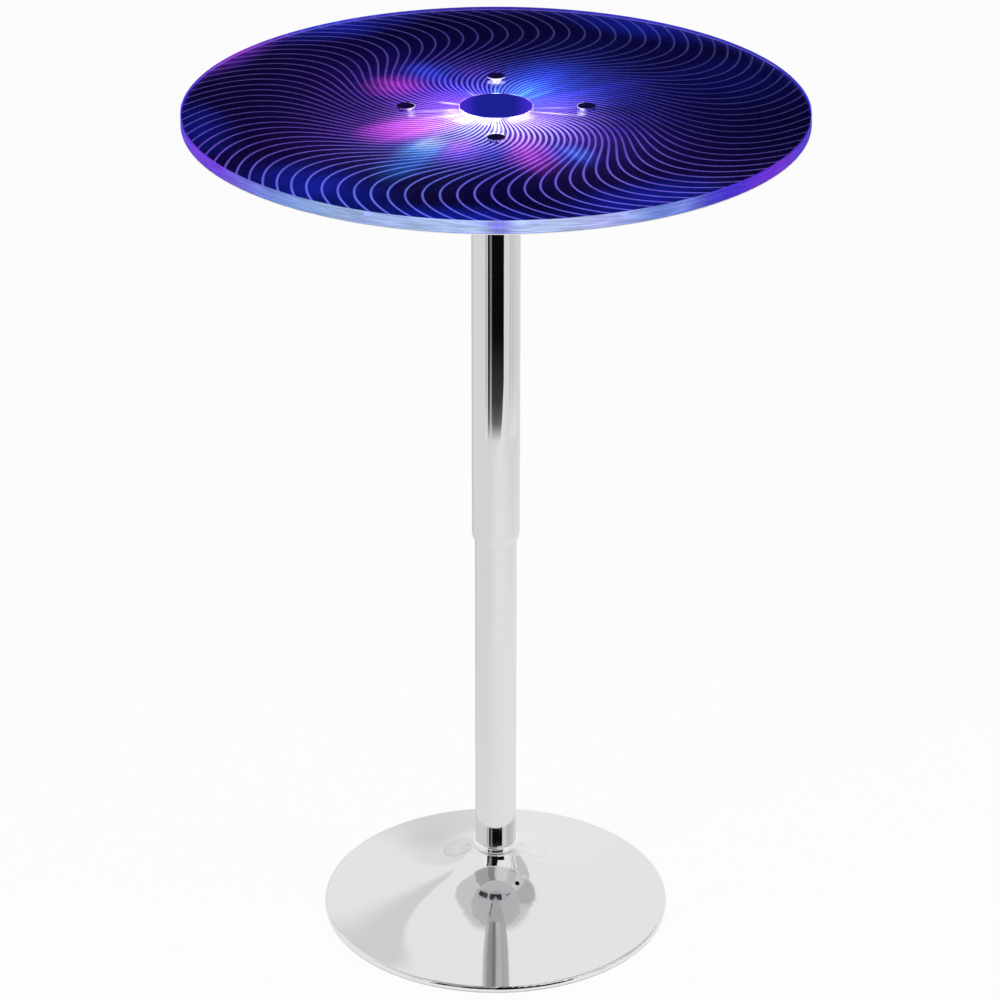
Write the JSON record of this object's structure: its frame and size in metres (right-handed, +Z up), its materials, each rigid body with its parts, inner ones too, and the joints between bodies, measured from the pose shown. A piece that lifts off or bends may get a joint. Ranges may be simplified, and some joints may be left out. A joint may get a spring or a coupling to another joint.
{
  "type": "light-up table",
  "caption": "Tall round light-up table: edge-lit glass top over a dark rayed panel, on a chrome telescoping gas-lift column with a trumpet-shaped base.",
  "frame": {"origin": "on the floor, under the centre of the column", "axes": "+Z up; the release lever points to +X, the control box lies on the -X side"},
  "size_m": [0.5999, 0.6, 0.884],
  "materials": {
    "chrome_plate": "mirror-polished chrome plate",
    "floor_plastic": "soft pale ring",
    "cast_ballast": "as cast, painted",
    "hub_steel": "turned steel",
    "zinc_steel": "zinc plated",
    "bolt_steel": "zinc plated",
    "guide_plastic": "natural acetal",
    "hardened_steel": "ground",
    "stop_rubber": "moulded",
    "piston_alloy": "turned",
    "cylinder_paint": "black gloss",
    "bracket_paint": "black powder coat",
    "clear_glass": "toughened, polished edge",
    "ray_panel": "near-black violet panel, lit",
    "clear_sleeve": "clear nylon, lit by the glass",
    "dark_cap": "deep blue-black, smooth",
    "carrier_plastic": "white",
    "light_strip": "white flexible strip",
    "light_lens": "lit",
    "lever_chrome": "chrome plated bar",
    "grip_rubber": "moulded, ribbed",
    "box_plastic": "fine-textured black",
    "tape_foam": "white foam tape",
    "board_green": "solder mask",
    "switch_plastic": "moulded",
    "cell_wrap": "plain printed sleeve",
    "contact_nickel": "nickel plated spring strip",
    "button_plastic": "smooth",
    "lead_jacket": "vinyl jacket",
    "clip_plastic": "natural nylon"
  },
  "bodies": {
    "base": {"floor_ring": "floor_plastic", "base_shell": "chrome_plate", "ballast_plate": "cast_ballast", "column_hub": "hub_steel", "hub_screws": "zinc_steel", "base_collar": "chrome_plate", "lower_column": "chrome_plate", "column_floor": "hub_steel", "column_bush": "guide_plastic", "bearing_lower_washer": "hardened_steel"},
    "rod": {"piston_rod": "hardened_steel", "rod_clip": "hardened_steel", "bearing_cage": "guide_plastic", "bearing_balls": "hardened_steel", "bearing_upper_washer": "hardened_steel", "bump_stop": "stop_rubber", "piston": "piston_alloy"},
    "lift": {"gas_cylinder": "cylinder_paint", "rod_guide": "piston_alloy", "upper_cover": "chrome_plate", "cover_ring": "guide_plastic", "cover_spacer": "guide_plastic", "lift_socket": "hub_steel", "lever_bracket": "bracket_paint", "lever_pivot_pin": "zinc_steel", "mounting_plate": "zinc_steel", "rubber_washers": "stop_rubber", "plate_nuts": "zinc_steel", "plate_bolts": "bolt_steel", "bolt_sleeves": "clear_sleeve", "bolt_caps": "dark_cap", "glass_top": "clear_glass", "backing_panel": "ray_panel", "centre_cap": "dark_cap", "led_carrier": "carrier_plastic", "led_strip": "light_strip", "leds": "light_lens", "carrier_screws": "zinc_steel", "control_box": "box_plastic", "box_lid": "box_plastic", "box_screws": "zinc_steel", "tape_pads": "tape_foam", "control_board": "board_green", "button_switch": "switch_plastic", "batteries": "cell_wrap", "battery_contacts": "contact_nickel", "led_lead": "lead_jacket", "lead_clips": "clip_plastic"},
    "lever": {"release_lever": "lever_chrome", "lever_grip": "grip_rubber"},
    "valve": {"valve_pin": "hardened_steel"},
    "button": {"mode_button": "button_plastic"},
    "battery_lid": {"battery_cover": "box_plastic"}
  },
  "joints": [
    {"name": "swivel", "type": "hinge", "parent": "base", "child": "rod", "pos_m": [0, 0, 0.06], "axis": [0, 0, 1], "continuous": true},
    {"name": "height", "type": "slide", "parent": "rod", "child": "lift", "axis": [0, 0, 1], "range_m": [-0.22, 0]},
    {"name": "lever_pull", "type": "hinge", "parent": "lift", "child": "lever", "pos_m": [0.028, 0, 0.855], "axis": [0, -1, 0], "range_deg": [0, 6], "stiffness_Nm_per_rad": 2},
    {"name": "valve_press", "type": "slide", "parent": "lift", "child": "valve", "axis": [0, 0, -1], "range_m": [0, 0.0032]},
    {"name": "button_press", "type": "slide", "parent": "lift", "child": "button", "axis": [0, 0, 1], "range_m": [0, 0.0012], "stiffness_N_per_m": 600},
    {"name": "cover_slide", "type": "slide", "parent": "lift", "child": "battery_lid", "axis": [-1, 0, 0], "range_m": [0, 0.058]}
  ],
  "couplings": [
    {"joint": "valve_press", "follows": "lever_pull", "m_per_rad": 0.03}
  ]
}
